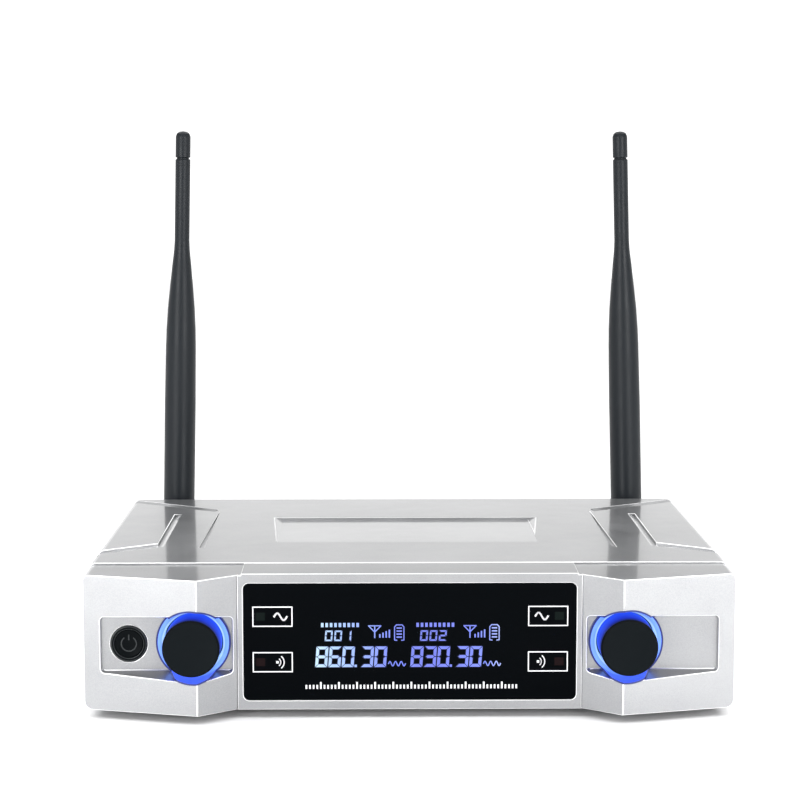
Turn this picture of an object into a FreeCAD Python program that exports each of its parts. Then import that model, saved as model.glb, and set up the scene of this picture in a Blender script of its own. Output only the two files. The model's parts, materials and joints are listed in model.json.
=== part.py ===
import FreeCAD, Part
import math
import os
import re
import Sketcher
from FreeCAD import Placement, Rotation, Vector

# A half-width wireless microphone receiver. Modelling frame: X = 0 on the centre line, Y = 0 on the
# display plate with +Y to the rear, Z = 0 under the feet. Every finished sub-part is then moved by
# -mid_depth along Y, so the origin lies under the middle of the whole object.

SIZES = {
    # case
    "half_width": 108.0, "foot_height": 3.0, "case_height": 46.2, "body_depth": 150.0,
    "wall": 2.2, "split_height": 26.0, "split_gap": 0.1, "seam_y": 16.8, "seam_gap": 0.2,
    "top_round": 2.2, "bottom_round": 3.0, "rear_round": 3.0,
    "knob_reach": 9.6, "mid_depth": 79.85,
    # front bezel
    "front_height": 45.4, "wing_drop": 0.45, "plate_step": 0.45, "ridge_x": 69.7, "ridge_out": 8.8,
    "wing_outer_y": 1.2, "bevel_x": 57.0, "strip_x": 55.7, "bezel_back_y": 4.0,
    "recess_y": 1.5, "recess_in": 58.9, "recess_out": 101.9, "recess_low": 16.1, "recess_high": 34.1,
    "recess_draft": 11.0, "recess_round": 1.3,
    # display
    "lens_x": 55.0, "lens_low": 6.2, "lens_high": 45.4, "lens_round": 1.8, "lens_thick": 1.5,
    "lens_inset": 0.15, "view_x": 53.4, "view_low": 8.0, "view_high": 43.6,
    "lcd_x": 38.0, "lcd_low": 14.5, "lcd_high": 36.0, "board_y": 8.2, "board_thick": 1.6,
    "led_x": 49.4, "led_low": 19.0, "led_high": 34.5, "led_radius": 1.5,
    # knobs, rings and power button
    "knob_x": 71.6, "knob_z": 25.7, "knob_radius": 9.4, "ring_hole": 12.4, "ring_outer": 12.3,
    "ring_inner": 9.85, "ring_y": 0.6, "shaft_radius": 3.0, "run_gap": 0.05, "control_y": 7.2,
    "knob_back": 3.4, "knob_wall": 1.6, "knob_web": -2.6, "hub_radius": 5.0, "shaft_tip": -6.0,
    "shaft_end": 14.0, "pot_radius": 8.2, "pot_back": 16.2, "nut_front": 5.0, "nut_radius": 5.6,
    "button_x": -93.0, "button_z": 25.1, "button_radius": 4.75, "collar_radius": 6.1,
    "button_travel": 1.5, "board_low": 12.2, "board_high": 39.2, "board_inner": 58.5, "board_outer": 101.5,
    "lamp_circle": 11.0, "lamp_half": 0.9,
    # antennas
    "antenna_x": 92.1, "antenna_y": 163.0, "antenna_z": 25.5, "antenna_radius": 6.25,
    "lean_left": 1.32, "lean_right": -1.71, "mast_length": 170.7, "tip_length": 10.5,
    "elbow_radius": 5.6, "tongue_half": 3.0, "pin_radius": 1.6,
    # rear connectors
    "panel_y": 145.7, "panel_thick": 2.0, "window_x": 103.0, "window_low": 8.0, "window_high": 44.0,
    "xlr_x": 30.0, "plug_z": 26.0, "xlr_bore": 8.0, "jack_bore": 3.2, "dc_x": -62.0, "dc_bore": 3.1,
    # boards and fasteners
    "main_x": 88.0, "main_front": 42.0, "main_back": 120.0, "main_z": 12.0,
    "standoff_x": 80.0, "standoff_front": 50.0, "standoff_back": 112.0,
    "boss_x": 99.0, "boss_front": 26.0, "boss_back": 138.0, "screw_radius": 1.45,
    "foot_x": 86.0, "foot_front": 36.0, "foot_back": 134.0, "foot_radius": 6.0,
}
SIDES = (("left", -1), ("right", 1))

doc = FreeCAD.newDocument("wireless_receiver")
sheet = doc.addObject("Spreadsheet::Sheet", "Spec")
for line, (alias, number) in enumerate(SIZES.items(), 1):
    sheet.set(f"A{line}", alias)
    sheet.set(f"B{line}", str(number))
    sheet.setAlias(f"B{line}", alias)
doc.recompute()

finished = []
starts = {}


def spec(text):
    """The expression with each cell alias pointed at the sheet."""
    return re.sub(r"[a-z]\w*", lambda m: f"Spec.{m[0]}" if m[0] in SIZES else m[0], str(text))


def bind(thing, **expressions):
    for name, text in expressions.items():
        thing.setExpression(name.replace("__", "."), spec(text))


def finish(thing, label, at=None, lean=None):
    """Names a finished sub-part and moves it from the modelling frame to the part's own frame."""
    x, y, z = at or starts.get(thing.Name, ("0", "0", "0"))
    thing.Label = label
    if lean:
        thing.Placement = Placement(Vector(), Rotation(Vector(0, 1, 0), SIZES[lean]))
        bind(thing, Placement__Rotation__Angle=lean)
    bind(thing, Placement__Base__x=x, Placement__Base__y=f"{y} - mid_depth", Placement__Base__z=z)
    finished.append(thing)
    return thing


# ---- sketches and PartDesign features

def plane(body, role):
    return next(item for item in body.Origin.OriginFeatures if item.Role == role)


def new_sketch(body, role, offset):
    sketch = body.newObject("Sketcher::SketchObject", "sketch")
    sketch.AttachmentSupport = [(plane(body, role), "")]
    sketch.MapMode = "FlatFace"
    sketch.setExpression("AttachmentOffset.Base.z", spec(offset))
    return sketch


def pin_point(sketch, edge, end, across, up, start):
    """Holds one sketch point at two expressions measured from the sketch's origin."""
    for kind, text, value in (("DistanceX", across, start.x), ("DistanceY", up, start.y)):
        index = sketch.addConstraint(Sketcher.Constraint(kind, -1, 1, edge, end, value))
        sketch.setExpression(f"Constraints[{index}]", spec(text))


def outline(body, role, points, offset="0"):
    """A closed outline through points given as (across, up) expressions."""
    sketch = new_sketch(body, role, offset)
    count = len(points)
    turn = 2 * math.pi / count
    starts = [Vector(20 * math.cos(turn * i), 20 * math.sin(turn * i), 0) for i in range(count)]
    for i in range(count):
        sketch.addGeometry(Part.LineSegment(starts[i], starts[(i + 1) % count]), False)
    for i in range(count):
        sketch.addConstraint(Sketcher.Constraint("Coincident", i, 2, (i + 1) % count, 1))
    for i, (across, up) in enumerate(points):
        pin_point(sketch, i, 1, across, up, starts[i])
    return sketch


def rectangle(body, role, across, up, offset="0"):
    (left, right), (low, high) = across, up
    return outline(body, role, [(left, low), (right, low), (right, high), (left, high)], offset)


def circles(body, role, centres, radius, offset="0"):
    sketch = new_sketch(body, role, offset)
    for i, (across, up) in enumerate(centres):
        start = Vector(30 * i + 5, 5, 0)
        sketch.addGeometry(Part.Circle(start, Vector(0, 0, 1), 2), False)
        index = sketch.addConstraint(Sketcher.Constraint("Radius", i, 2))
        sketch.setExpression(f"Constraints[{index}]", spec(radius))
        pin_point(sketch, i, 3, across, up, start)
    return sketch


def pad(body, sketch, length, flipped=False):
    feature = body.newObject("PartDesign::Pad", "pad")
    feature.Profile = sketch
    feature.Reversed = flipped
    bind(feature, Length=length)
    doc.recompute()
    return feature


def pocket(body, sketch, length, flipped=False, draft=None):
    before = body.Shape.Volume
    feature = body.newObject("PartDesign::Pocket", "pocket")
    feature.Profile = sketch
    feature.Reversed = flipped
    bind(feature, Length=length)
    if draft:
        bind(feature, TaperAngle=draft)
    doc.recompute()
    if body.Shape.Volume >= before - 0.01:
        raise RuntimeError(f"a pocket in {body.Label} cuts nothing")
    return feature


def edges_where(feature, test):
    """Names of the edges whose two ends pass a test."""
    names = []
    for number, edge in enumerate(feature.Shape.Edges, 1):
        ends = [vertex.Point for vertex in edge.Vertexes]
        if len(ends) == 2 and test(*ends):
            names.append(f"Edge{number}")
    return names


def rounded(body, feature, test, radius):
    """Rounds the edges that pass a test, by a radius in the sheet's terms."""
    names = edges_where(feature, test)
    if not names:
        raise RuntimeError(f"no edges to round in {body.Label}")
    blend = body.newObject("PartDesign::Fillet", "blend")
    blend.Base = (feature, names)
    bind(blend, Radius=radius)
    doc.recompute()
    return blend


def new_body(name):
    body = doc.addObject("PartDesign::Body", name)
    body.Label = f"{name}_body"
    return body


def turned(name, profile, about="Y"):
    """A body of revolution: profile points are (radius, along), about the Y or the Z axis."""
    body = new_body(name)
    sketch = outline(body, "XY_Plane" if about == "Y" else "XZ_Plane", profile)
    spin = body.newObject("PartDesign::Revolution", "spin")
    spin.Profile = sketch
    spin.ReferenceAxis = (sketch, ["V_Axis"])
    spin.Angle = 360
    doc.recompute()
    return body


def near(value, alias, slack=0.02):
    return abs(value - (SIZES[alias] if isinstance(alias, str) else alias)) < slack


# ---- Part primitives

def block(name, x, y, z):
    """A box between two expressions along each axis."""
    solid = doc.addObject("Part::Box", name)
    starts[name] = (x[0], y[0], z[0])
    for size, axis, (low, high) in (("Length", "x", x), ("Width", "y", y), ("Height", "z", z)):
        bind(solid, **{size: f"({high}) - ({low})", f"Placement__Base__{axis}": low})
    return solid


def rod(name, radius, start, length, axis="Y"):
    """A cylinder from a start point along +X, +Y or +Z."""
    solid = doc.addObject("Part::Cylinder", name)
    turns = {"X": (Vector(0, 1, 0), 90), "Y": (Vector(1, 0, 0), -90), "Z": (Vector(0, 0, 1), 0)}
    solid.Placement = Placement(Vector(), Rotation(*turns[axis]))
    x, y, z = start
    bind(solid, Radius=radius, Height=length, Placement__Base__x=x, Placement__Base__y=y,
         Placement__Base__z=z)
    return solid


def fuse(name, *solids):
    joined = doc.addObject("Part::MultiFuse", name)
    joined.Shapes = list(solids)
    return joined


def cut(name, base, *tools):
    result = doc.addObject("Part::Cut", name)
    result.Base = base
    result.Tool = tools[0] if len(tools) == 1 else fuse(f"{name}_tools", *tools)
    return result


def group(name, *solids):
    """Separate solids that share one node."""
    together = doc.addObject("Part::Compound", name)
    together.Links = list(solids)
    return together


def facet_tool(name, roof, floor):
    """A cutting solid of triangles between two plan outlines with equal corner counts."""
    upper, lower = ([Vector(*point) for point in loop] for loop in (roof, floor))
    count = len(upper)
    triangles = []
    for loop in (upper, lower):
        triangles += [(loop[0], loop[i], loop[i + 1]) for i in range(1, count - 1)]
    for i in range(count):
        after = (i + 1) % count
        triangles += [(upper[i], upper[after], lower[after]), (upper[i], lower[after], lower[i])]
    faces = [Part.Face(Part.makePolygon([*corners, corners[0]])) for corners in triangles]
    solid = Part.makeSolid(Part.makeShell(faces))
    if solid.Volume < 0:
        solid.reverse()
    tool = doc.addObject("Part::Feature", name)
    tool.Shape = solid
    return tool


# ---- case

def front_bezel():
    """The front moulding: a plate for the display between two pointed wings, each with a recess."""
    body = new_body("front_bezel")
    plan = [("-half_width", "seam_y"), ("-half_width", "wing_outer_y"), ("-ridge_x", "-ridge_out"),
            ("-bevel_x", "plate_step"), ("-bevel_x", "0"), ("bevel_x", "0"), ("bevel_x", "plate_step"),
            ("ridge_x", "-ridge_out"), ("half_width", "wing_outer_y"), ("half_width", "seam_y")]
    pad(body, outline(body, "XY_Plane", plan, "foot_height"), "case_height")
    # the top falls gently from the seam to the front edge, a little lower over the wings
    roof_line = "foot_height + front_height"
    fall = [("-20", f"{roof_line} + 0.1"), ("seam_y + 1", f"{roof_line} + 0.62"),
            ("seam_y + 1", "60"), ("-20", "60")]
    pocket(body, outline(body, "YZ_Plane", fall, "-half_width - 1"), "2 * half_width + 2", True)
    low_fall = [(y, f"{z} - wing_drop" if z != "60" else z) for y, z in fall]
    for side, flipped in ((-1, False), (1, True)):
        pocket(body, outline(body, "YZ_Plane", low_fall, f"{side} * strip_x"), "60", flipped)
    # hollow behind the front wall, then a solid block round each recess
    hollow = [("-half_width + wall", "seam_y + 1"), ("-half_width + wall", "wing_outer_y + 2.2"),
              ("-ridge_x", "-ridge_out + 2.6"), ("-bevel_x + 0.6", "plate_step + 2.2"),
              ("bevel_x - 0.6", "plate_step + 2.2"), ("ridge_x", "-ridge_out + 2.6"),
              ("half_width - wall", "wing_outer_y + 2.2"), ("half_width - wall", "seam_y + 1")]
    pocket(body, outline(body, "XY_Plane", hollow, "foot_height + wall"),
           "front_height - 2 * wall - 0.3", True)
    for side in (-1, 1):
        tub = [(f"{side} * (recess_out + 2)", "bezel_back_y"), (f"{side} * (recess_out + 2)", "3"),
               (f"{side} * ridge_x", "-ridge_out + 1"), (f"{side} * (bevel_x + 0.1)", "2"),
               (f"{side} * (bevel_x + 0.1)", "bezel_back_y")]
        pad(body, outline(body, "XY_Plane", tub, "recess_low - 5"), "recess_high - recess_low + 10")
    # one drafted recess in each wing, open to the front
    for side in (-1, 1):
        ends = ("-recess_out", "-recess_in") if side < 0 else ("recess_in", "recess_out")
        floor = rectangle(body, "XZ_Plane", ends, ("recess_low", "recess_high"), "-recess_y")
        pocket(body, floor, "14", True, "recess_draft")
    rounded(body, body.Tip, lambda a, b: near(max(a.y, b.y), "recess_y") and abs(a.y - b.y) > 1.5
            and 10 < a.z < 40, "recess_round")
    front_window(body)
    front_holes(body)
    top = SIZES["foot_height"] + SIZES["front_height"] - 2
    last = rounded(body, body.Tip, lambda a, b: near(abs(a.x), "half_width") and near(a.x, b.x)
                   and min(a.z, b.z) > top, "top_round")
    low = SIZES["foot_height"]
    rounded(body, last, lambda a, b: near(abs(a.x), "half_width") and near(a.x, b.x)
            and near(a.z, low) and near(b.z, low), "bottom_round")
    finish(body, "front_bezel")


def front_window(body):
    """The seat that the lens lies in and the view hole behind it."""
    seat = rectangle(body, "XZ_Plane", ("-lens_x - 0.1", "lens_x + 0.1"),
                     ("lens_low - 0.1", "lens_high + 0.1"), "1")
    seat_pocket = pocket(body, seat, "1 + lens_inset + lens_thick")
    rounded(body, seat_pocket, lambda a, b: near(abs(a.x), SIZES["lens_x"] + 0.1) and near(a.x, b.x)
            and near(a.z, b.z), "lens_round + 0.1")
    view = rectangle(body, "XZ_Plane", ("-view_x", "view_x"), ("view_low", "view_high"), "1")
    pocket(body, view, "5")


def front_holes(body):
    """Holes along Y for the ring lights and the power button."""
    rings = circles(body, "XZ_Plane", [(f"{s} * knob_x", "knob_z") for s in (-1, 1)], "ring_hole", "12")
    pocket(body, rings, "12 + bezel_back_y + 1")
    hole = circles(body, "XZ_Plane", [("button_x", "button_z")], "collar_radius + 0.05", "12")
    pocket(body, hole, "12 + bezel_back_y + 1")


def half_shell(name, low, high, roof_side):
    """Half of the case behind the seam, open towards the other half and towards the bezel."""
    body = new_body(name)
    across = ("-half_width", "half_width")
    along = ("seam_y + seam_gap", "body_depth")
    shell = pad(body, rectangle(body, "XY_Plane", across, along, low), f"{high} - ({low})")
    back = SIZES["body_depth"]
    shell = rounded(body, shell, lambda a, b: near(a.y, back) and near(b.y, back)
                    and near(abs(a.x), "half_width") and near(a.x, b.x), "rear_round")
    skin = body.Shape.BoundBox.ZMax if roof_side > 0 else body.Shape.BoundBox.ZMin
    rounded(body, shell, lambda a, b: near(a.z, skin) and near(b.z, skin)
            and near(abs(a.x), "half_width") and near(a.x, b.x),
            "top_round" if roof_side > 0 else "bottom_round")
    inside = rectangle(body, "XY_Plane", ("-half_width + wall", "half_width - wall"),
                       ("seam_y", "body_depth - wall"), low if roof_side > 0 else high)
    pocket(body, inside, f"{high} - ({low}) - wall", roof_side > 0)
    return body


def rear_window(body, low, high):
    gap = rectangle(body, "XZ_Plane", ("-window_x", "window_x"), (low, high), "-body_depth - 1")
    pocket(body, gap, "wall + 2", True)


BOSSES = [(f"{s} * boss_x", y) for s in (-1, 1) for y in ("boss_front", "boss_back")]


def top_cover():
    """The upper half: roof and sides, screw bosses, engraved grooves and the sunken centre field."""
    roof = "foot_height + case_height"
    body = half_shell("cover", "split_height", roof, 1)
    rear_window(body, "split_height - 1", "window_high")
    pad(body, circles(body, "XY_Plane", BOSSES, "3.4", "split_height"), f"{roof} - split_height - 1")
    pocket(body, circles(body, "XY_Plane", BOSSES, "screw_radius + 0.05", "split_height"), "12", True)
    cover = cut("cover_cut", body, *grooves())
    finish(cover, "top_cover")


def grooves():
    """Cutting solids for the decorative grooves, mirrored left and right, and the centre field."""
    roof = SIZES["foot_height"] + SIZES["case_height"]
    above = roof + 0.5
    deep = roof - 1.1
    tools = []
    for label, side in SIDES:
        def loop(points):
            return [(side * x, y, z) for x, y, z in points]
        # rear groove: its floor climbs towards the rear
        tools.append(facet_tool(
            f"groove_rear_{label}",
            loop([(110, 142.3, above), (110, 149.0, above), (71.9, 125.0, above), (73.4, 118.5, above)]),
            loop([(110, 142.3, deep), (110, 147.8, roof - 0.1), (73.4, 124.6, roof - 0.1),
                  (73.4, 118.5, deep)])))
        # side groove: its floor climbs towards the centre line
        tools.append(facet_tool(
            f"groove_side_{label}",
            loop([(88.5, 48.2, above), (85.6, 46.0, above), (85.6, 113.0, above), (88.5, 113.0, above)]),
            loop([(88.4, 48.2, deep), (85.9, 46.0, roof - 0.25), (85.9, 113.0, roof - 0.25),
                  (88.4, 113.0, deep)])))
        # corner groove: its floor climbs towards the front
        tools.append(facet_tool(
            f"groove_corner_{label}",
            loop([(110, 30.6, above), (85.6, 45.6, above), (88.5, 53.0, above), (110, 37.4, above)]),
            loop([(110, 31.2, roof - 0.15), (85.9, 46.0, roof - 0.15), (88.4, 52.6, deep),
                  (110, 37.2, deep)])))
        # wedge-shaped slit beside the centre line
        tools.append(facet_tool(
            f"groove_slit_{label}",
            loop([(71.4, 44.2, above), (71.6, 118.0, above), (71.8, 118.0, above), (73.4, 44.2, above)]),
            loop([(71.5, 44.2, deep), (71.65, 118.0, deep), (71.75, 118.0, deep), (73.3, 44.2, deep)])))
    # centre field: flush at the front, deepest at the rear, with sloping ends
    tools.append(facet_tool(
        "field",
        [(-46.7, 54.5, above), (46.7, 54.5, above), (51.5, 105.0, above), (-51.5, 105.0, above)],
        [(-46.4, 54.5, roof - 0.02), (46.4, 54.5, roof - 0.02), (46.6, 104.6, roof - 0.95),
         (-46.6, 104.6, roof - 0.95)]))
    return tools


def bottom_case():
    """The lower half: floor and sides, board standoffs, screw holes and seats for the feet."""
    body = half_shell("bottom", "foot_height", "split_height - split_gap", -1)
    rear_window(body, "window_low", "split_height + 1")
    floor = "(foot_height + wall)"
    posts = [(f"{s} * standoff_x", y) for s in (-1, 1) for y in ("standoff_front", "standoff_back")]
    pad(body, circles(body, "XY_Plane", posts, "3", f"{floor} - 0.5"), f"main_z - {floor} + 0.5")
    pad(body, circles(body, "XY_Plane", BOSSES, "3.4", f"{floor} - 0.5"),
        f"split_height - split_gap - {floor} + 0.5")
    pocket(body, circles(body, "XY_Plane", posts, "screw_radius + 0.05", f"{floor} + 0.6"), "20", True)
    pocket(body, circles(body, "XY_Plane", BOSSES, "screw_radius + 0.15", "foot_height - 1"), "40", True)
    pocket(body, circles(body, "XY_Plane", BOSSES, "3.0", "foot_height - 1"), "2.8", True)
    finish(body, "bottom_case")


def feet_and_screws():
    feet, screws = [], []
    for i, (x, y) in enumerate([(f"{s} * foot_x", y) for s in (-1, 1) for y in ("foot_front", "foot_back")]):
        foot = turned(f"foot_{i}", [("0", "0"), ("foot_radius - 0.8", "0"), ("foot_radius", "0.8"),
                                    ("foot_radius", "foot_height"), ("0", "foot_height")], "Z")
        bind(foot, Placement__Base__x=x, Placement__Base__y=y)
        feet.append(foot)
    for i, (x, y) in enumerate(BOSSES):
        screw = turned(f"case_screw_{i}", [("0", "0"), ("2.7", "0"), ("2.7", "1.7"),
                                           ("screw_radius", "1.7"), ("screw_radius", "31"),
                                           ("0", "31")], "Z")
        bind(screw, Placement__Base__x=x, Placement__Base__y=y, Placement__Base__z="foot_height + 0.1")
        screws.append(screw)
    finish(group("feet_group", *feet), "rubber_feet")
    finish(group("screw_group", *screws), "case_screws")


def rear_panel():
    """The plate that closes the back and carries the sockets and the antennas."""
    body = new_body("rear_plate")
    plate = rectangle(body, "XZ_Plane", ("-half_width + wall + 0.4", "half_width - wall - 0.4"),
                      ("foot_height + wall + 0.4", "foot_height + case_height - wall - 0.4"), "-panel_y")
    pad(body, plate, "panel_thick", True)
    for centres, radius in (([(f"{s} * xlr_x", "plug_z") for s in (-1, 1)], "10.6"),
                            ([("0", "plug_z")], "4.7"),
                            ([("dc_x", "plug_z")], "5.1"),
                            ([(f"{s} * antenna_x", "antenna_z") for s in (-1, 1)], "4.05")):
        pocket(body, circles(body, "XZ_Plane", centres, radius, "-panel_y + 1"), "6")
    finish(body, "rear_panel")


# ---- display

def display():
    """Lens, glass, frame, backlight, board and the four status lamps."""
    body = new_body("lens")
    sheet_outline = rectangle(body, "XZ_Plane", ("-lens_x", "lens_x"), ("lens_low", "lens_high"),
                              "-lens_inset")
    plate = pad(body, sheet_outline, "lens_thick", True)
    rounded(body, plate, lambda a, b: near(a.x, b.x) and near(a.z, b.z), "lens_round")
    finish(body, "display_lens")
    finish(block("glass", ("-lcd_x", "lcd_x"), ("2.2", "4.9"), ("lcd_low", "lcd_high")), "lcd_glass")
    rim = block("rim", ("-lcd_x - 2", "lcd_x + 2"), ("2.0", "board_y - 0.1"), ("lcd_low - 2", "lcd_high + 2"))
    room = block("rim_room", ("-lcd_x - 0.2", "lcd_x + 0.2"), ("1.0", "board_y + 1"),
                 ("lcd_low - 0.2", "lcd_high + 0.2"))
    finish(cut("rim_cut", rim, room), "lcd_frame")
    finish(block("backlight", ("-lcd_x", "lcd_x"), ("5.1", "board_y - 0.2"), ("lcd_low", "lcd_high")),
           "backlight_panel")
    finish(block("display_board", ("-54", "54"), ("board_y", "board_y + board_thick"), ("8", "43")),
           "front_board")
    lamps = []
    for s in (-1, 1):
        for z in ("led_low", "led_high"):
            lamps.append(rod(f"lamp_{len(lamps)}", "led_radius", (f"{s} * led_x", "1.9", z),
                             "board_y - 1.95"))
    finish(group("lamps", *lamps), "indicator_leds")


# ---- knobs and rings

def knob_set(label, side):
    """Knob, light ring, potentiometer and the board that carries them, on one side."""
    at = (f"{side} * knob_x", "0", "knob_z")
    front = "-knob_reach"
    knob = turned(f"knob_{label}", [
        ("0", front), ("knob_radius - 0.5", front), ("knob_radius", f"{front} + 0.5"),
        ("knob_radius", "knob_back"), ("knob_radius - knob_wall", "knob_back"),
        ("knob_radius - knob_wall", "knob_web"), ("hub_radius", "knob_web"), ("hub_radius", "knob_back - 0.4"),
        ("shaft_radius", "knob_back - 0.4"), ("shaft_radius", "shaft_tip"), ("0", "shaft_tip")])
    finish(knob, f"knob_{label}", at)
    shaft = turned(f"shaft_{label}", [("0", "shaft_tip"), ("shaft_radius", "shaft_tip"),
                                      ("shaft_radius", "shaft_end"), ("0", "shaft_end")])
    finish(shaft, f"pot_shaft_{label}", at)
    bush = "shaft_radius + run_gap"
    pot = turned(f"pot_{label}", [
        (bush, "4.2"), ("3.6", "4.2"), ("3.6", "control_y + board_thick"),
        ("pot_radius", "control_y + board_thick"), ("pot_radius", "pot_back"), ("0", "pot_back"),
        ("0", "shaft_end + 0.3"), (bush, "shaft_end + 0.3")])
    finish(pot, f"volume_pot_{label}", at)
    nut = turned(f"nut_{label}", [("3.65", "nut_front"), ("nut_radius", "nut_front"),
                                  ("nut_radius", "control_y"), ("3.65", "control_y")])
    finish(nut, f"pot_nut_{label}", at)
    ring = turned(f"ring_{label}", [
        ("ring_inner", "ring_y"), ("ring_outer", "ring_y"), ("ring_outer", "6.0"), ("ring_inner", "6.0")])
    finish(ring, f"ring_light_{label}", at)
    control_board(label, side)


def control_board(label, side):
    """Circuit board behind the wing with eight small lamps facing the ring."""
    ends = ("-board_outer", "-board_inner") if side < 0 else ("board_inner", "board_outer")
    board = block(f"control_{label}", ends, ("control_y", "control_y + board_thick"),
                  ("board_low", "board_high"))
    lamps = []
    lamp_count = 8
    for i in range(lamp_count):
        angle = 2 * math.pi * (i + 0.5) / lamp_count
        x = f"{side} * knob_x + {math.cos(angle):.5f} * lamp_circle"
        z = f"knob_z + {math.sin(angle):.5f} * lamp_circle"
        lamps.append(block(f"ring_lamp_{label}_{i}", (f"{x} - lamp_half", f"{x} + lamp_half"),
                           ("control_y - 1", "control_y + 0.1"), (f"{z} - lamp_half", f"{z} + lamp_half")))
    tools = [rod(f"pot_hole_{label}", "3.7", (f"{side} * knob_x", "control_y - 1", "knob_z"), "4")]
    if side < 0:
        tools.append(rod("plunger_hole", "2.4", ("button_x", "control_y - 1", "button_z"), "4"))
    plate = cut(f"control_plate_{label}", board, *tools)
    finish(fuse(f"control_fused_{label}", plate, *lamps), f"control_board_{label}")


def power_button():
    """Push cap behind a fixed collar, its plunger and the switch that holds the plunger."""
    at = ("button_x", "0", "button_z")
    collar = turned("collar", [("button_radius + 0.1", "1.1"), ("collar_radius - 0.3", "1.1"),
                               ("collar_radius", "1.4"), ("collar_radius", "3.3"),
                               ("button_radius + 0.1", "3.3")])
    finish(collar, "button_collar", at)
    cap = turned("cap", [("0", "1.2"), ("button_radius - 0.3", "1.2"), ("button_radius", "1.5"),
                         ("button_radius", "3.5"), ("5.6", "3.5"), ("5.6", "4.4"), ("0", "4.4")])
    finish(cap, "power_button", at)
    end = "14 - button_travel"
    finish(turned("plunger", [("0", "4.4"), ("1.8", "4.4"), ("1.8", end), ("0", end)]),
           "switch_plunger", at)
    housing = block("switch_box", ("button_x - 4.2", "button_x + 4.2"),
                    ("control_y + board_thick", "16.4"), ("button_z - 4.2", "button_z + 4.2"))
    well = rod("switch_well", "1.9", ("button_x", "5", "button_z"), "9.5")
    finish(cut("switch_cut", housing, well), "power_switch")


# ---- antennas

def antenna(label, side):
    """Fixed bushing and nut, then the swivelling knuckle, elbow pin, mast and tip, upright at rest."""
    fixed = (f"{side} * antenna_x", "0", "antenna_z")
    face = "panel_y + panel_thick"
    bushing = turned(f"bushing_{label}", [
        ("0", "panel_y - 4.5"), ("4.0", "panel_y - 4.5"), ("4.0", face), ("6.2", face),
        ("6.2", f"{face} + 1.8"), ("3.0", f"{face} + 1.8"), ("3.0", "155.8"), ("0", "155.8")])
    finish(bushing, f"antenna_bushing_{label}", fixed)
    nut = turned(f"bushing_nut_{label}", [("4.05", "panel_y - 2.8"), ("6.0", "panel_y - 2.8"),
                                          ("6.0", "panel_y"), ("4.05", "panel_y")])
    finish(nut, f"antenna_nut_{label}", fixed)
    at, lean = (f"{side} * antenna_x", "antenna_y", "antenna_z"), f"lean_{label}"
    elbow_pin = rod(f"elbow_pin_{label}", "pin_radius", ("-6.0", "0", "0"), "12.0", "X")
    pin_copy = group(f"pin_group_{label}", elbow_pin)
    finish(pin_copy, f"antenna_pin_{label}", at, lean)
    finish(knuckle(label), f"antenna_knuckle_{label}", at, lean)
    finish(mast(label), f"antenna_mast_{label}", at, lean)
    groove = "mast_length - tip_length"
    tip = turned(f"tip_{label}", [
        ("0", groove), ("2.98", groove), ("2.98", "mast_length - 2.2"), ("2.5", "mast_length - 0.9"),
        ("1.5", "mast_length - 0.2"), ("0", "mast_length")], "Z")
    finish(tip, f"antenna_tip_{label}", at, lean)


def knuckle(label):
    """A round base on the bushing's journal with two ears for the elbow pin."""
    base = turned(f"knuckle_base_{label}", [
        ("3.05", "-13.3"), ("6.2", "-13.3"), ("6.2", "-6.4"), ("0", "-6.4"), ("0", "-7.0"),
        ("3.05", "-7.0")])
    ears = []
    for side in (-1, 1):
        inner, outer = sorted((side * 3.2, side * 5.9))
        ears.append(block(f"ear_arm_{label}_{side}", (str(inner), str(outer)), ("-6.8", "0"),
                          ("-elbow_radius + 1.6", "elbow_radius - 1.6")))
        ears.append(rod(f"ear_eye_{label}_{side}", "elbow_radius - 0.4", (str(inner), "0", "0"),
                        str(round(outer - inner, 3)), "X"))
    bore = rod(f"ear_bore_{label}", "pin_radius", ("-8", "0", "0"), "16", "X")
    return cut(f"knuckle_cut_{label}", fuse(f"knuckle_fused_{label}", base, *ears), bore)


def mast(label):
    """The whip: a flat tongue in the elbow, a thick sleeve and a long shoulder down to the thin rod."""
    sleeve = turned(f"sleeve_{label}", [
        ("0", "6.4"), ("antenna_radius - 0.5", "6.4"), ("antenna_radius", "6.9"),
        ("antenna_radius", "61.5"), ("6.05", "85"), ("5.9", "91"), ("5.45", "99.5"), ("4.75", "107.5"),
        ("3.8", "117.5"), ("3.2", "123"), ("2.98", "127"), ("2.98", "mast_length - tip_length - 0.8"),
        ("2.5", "mast_length - tip_length - 0.6"), ("2.5", "mast_length - tip_length"),
        ("0", "mast_length - tip_length")], "Z")
    tongue = block(f"tongue_{label}", ("-tongue_half", "tongue_half"), ("-5.0", "5.0"), ("0", "7.0"))
    eye = rod(f"tongue_eye_{label}", "5.0", ("-tongue_half", "0", "0"), "2 * tongue_half", "X")
    bore = rod(f"tongue_bore_{label}", "pin_radius + run_gap", ("-5", "0", "0"), "10", "X")
    return cut(f"mast_cut_{label}", fuse(f"mast_fused_{label}", sleeve, tongue, eye), bore)


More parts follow.
